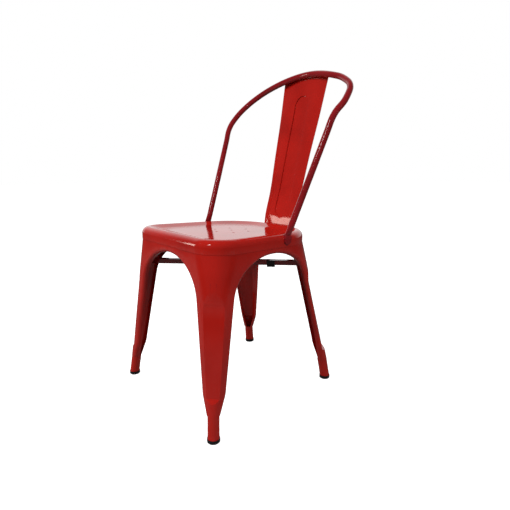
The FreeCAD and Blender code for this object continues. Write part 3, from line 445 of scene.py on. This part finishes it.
def studio_floor():
    """A wide pale floor that shows white and keeps the shadow of the chair.

    Only the camera sees it pale; the chair mirrors it, and is lit by it, as grey.
    """
    bpy.ops.object.select_all(action="DESELECT")
    bpy.ops.mesh.primitive_plane_add(size=40.0, location=(0, 0, 0))
    floor = bpy.context.object
    floor.name = "studio_floor"
    material, tree = blank("matt_white_studio_vinyl")
    spot = add(tree, "ShaderNodeTexCoord").outputs["Object"]
    # the vinyl's tone drifts over the width of a foot
    drift = 300 * MM
    mottle = add(tree, "ShaderNodeTexNoise", None,
                 {"Scale": 1 / drift, "Detail": 2.0}, {"Vector": spot})
    tone = add(tree, "ShaderNodeValToRGB", None, None, {"Fac": mottle.outputs["Fac"]})
    stops(tone, (0.3, "#E6E6E6"), (0.7, "#EAEAEA"))
    pale = add(tree, "ShaderNodeBsdfDiffuse", None, None, {"Color": tone.outputs["Color"]})
    grey = add(tree, "ShaderNodeBsdfDiffuse", None, {"Color": linear("#7E7A78")})
    lift = add(tree, "ShaderNodeEmission", None, {"Color": linear("#FFFFFF"), "Strength": 0.82})
    seen = add(tree, "ShaderNodeLightPath").outputs["Is Camera Ray"]
    white = add(tree, "ShaderNodeAddShader", None, None,
                {0: pale.outputs["BSDF"], 1: lift.outputs["Emission"]})
    shown = add(tree, "ShaderNodeMixShader", None, None,
                {0: seen, 1: grey.outputs["BSDF"], 2: white.outputs["Shader"]})
    add(tree, "ShaderNodeOutputMaterial", None, None, {"Surface": shown.outputs["Shader"]})
    floor.data.materials.append(material)


def studio_world(light, backdrop, dark):
    """White where it is seen; mirrored, a white backdrop on one side of a dim studio."""
    world = bpy.data.worlds.new("white_studio")
    bpy.context.scene.world = world
    world.use_nodes = True
    tree = world.node_tree
    tree.nodes.clear()
    path = add(tree, "ShaderNodeLightPath")
    way = add(tree, "ShaderNodeTexCoord").outputs["Generated"]
    facing = add(tree, "ShaderNodeVectorMath", {"operation": "DOT_PRODUCT"}, {1: backdrop},
                 {0: way})
    wall = add(tree, "ShaderNodeMapRange", {"interpolation_type": "SMOOTHSTEP"},
               {"From Min": 0.35, "From Max": 0.80, "To Min": dark, "To Max": 1.0},
               {"Value": facing.outputs["Value"]})
    glossy = add(tree, "ShaderNodeMix", {"data_type": "FLOAT"}, {"A": light},
                 {"Factor": path.outputs["Is Glossy Ray"], "B": wall.outputs["Result"]})
    clear = add(tree, "ShaderNodeMath", {"operation": "MAXIMUM"}, None,
                {0: path.outputs["Is Camera Ray"], 1: path.outputs["Is Transmission Ray"]})
    level = add(tree, "ShaderNodeMix", {"data_type": "FLOAT"}, {"B": 1.0},
                {"Factor": clear.outputs["Value"], "A": glossy.outputs["Result"]})
    sky = add(tree, "ShaderNodeBackground", None, {"Color": linear("#FFFFFF")},
              {"Strength": level.outputs["Result"]})
    add(tree, "ShaderNodeOutputWorld", None, None, {"Surface": sky.outputs["Background"]})


def softbox(name, place, wide, tall, watts, mirrored, colour="#FFFFFF"):
    """A soft lamp aimed at the middle of the chair; mirrored says whether the gloss shows it."""
    lamp = bpy.data.lights.new(name, "AREA")
    lamp.shape = "RECTANGLE"
    lamp.size = wide
    lamp.size_y = tall
    lamp.energy = watts
    lamp.color = linear(colour)[:3]
    box = bpy.data.objects.new(name, lamp)
    bpy.context.scene.collection.objects.link(box)
    box.location = place
    middle = Vector((0, 0, 0.4))
    box.rotation_euler = (middle - Vector(place)).to_track_quat("-Z", "Y").to_euler()
    box.visible_glossy = mirrored


def photo_camera():
    """The camera of the photograph, found from the outline of the chair in it."""
    place = (0.87412, -0.67320, 0.57639)
    yaw = 0.8803
    pitch = 0.2019
    roll = -0.0042
    frame_pixels = 510
    focal_pixels = 411.0
    centre_pixels = (253.81, 255.16)
    sensor_mm = 36.0
    ahead = Vector((-math.sin(yaw) * math.cos(pitch), math.cos(yaw) * math.cos(pitch),
                    -math.sin(pitch)))
    aside = Vector((math.cos(yaw), math.sin(yaw), 0))
    above = aside.cross(ahead)
    turned = aside * math.cos(roll) + above * math.sin(roll)
    raised = above * math.cos(roll) - aside * math.sin(roll)
    lens = bpy.data.cameras.new("photo_camera")
    camera = bpy.data.objects.new("photo_camera", lens)
    bpy.context.scene.collection.objects.link(camera)
    columns = Matrix((turned, raised, -ahead)).transposed()
    camera.matrix_world = Matrix.Translation(place) @ columns.to_4x4()
    lens.sensor_width = sensor_mm
    lens.lens = sensor_mm * focal_pixels / frame_pixels
    lens.shift_x = (frame_pixels / 2 - centre_pixels[0]) / frame_pixels
    lens.shift_y = (centre_pixels[1] - frame_pixels / 2) / frame_pixels
    bpy.context.scene.camera = camera


# the chair: the beads first, because they are laid on nodes that the skins then replace

brace_beads()
tang_bead("hoop_bead_left", 1)
tang_bead("hoop_bead_right", -1)
splat_spot_welds()
painted_sheet("seat_pan", "pressed_seat")
for corner in ("front_left", "front_right", "rear_left", "rear_right"):
    painted_sheet(corner + "_leg", corner + "_pressed_leg")
painted_tube()
pressed_splat()
for name, node in NODES.items():
    for place in node.material_slots:
        place.material = finish_for(name)

# the studio, with lamps whose sizes are in metres and powers in watts

studio_floor()
studio_world(light=0.30, backdrop=(-0.77, 0.64, 0.0), dark=0.10)
softbox("key_softbox", (-0.5, -2.5, 2.1), 1.6, 1.2, 62.0, False)
softbox("side_softbox", (2.6, 0.4, 1.6), 1.0, 1.6, 26.0, False)
softbox("top_softbox", (-0.6, 0.6, 2.8), 1.4, 1.4, 16.0, False)
softbox("small_lamp", (0.55, -2.2, 2.3), 0.30, 0.30, 6.0, True)
softbox("window", (-2.3, -2.0, 0.75), 0.45, 0.7, 7.0, True, "#FFE9DC")
photo_camera()

bpy.context.scene.view_settings.view_transform = "Standard"
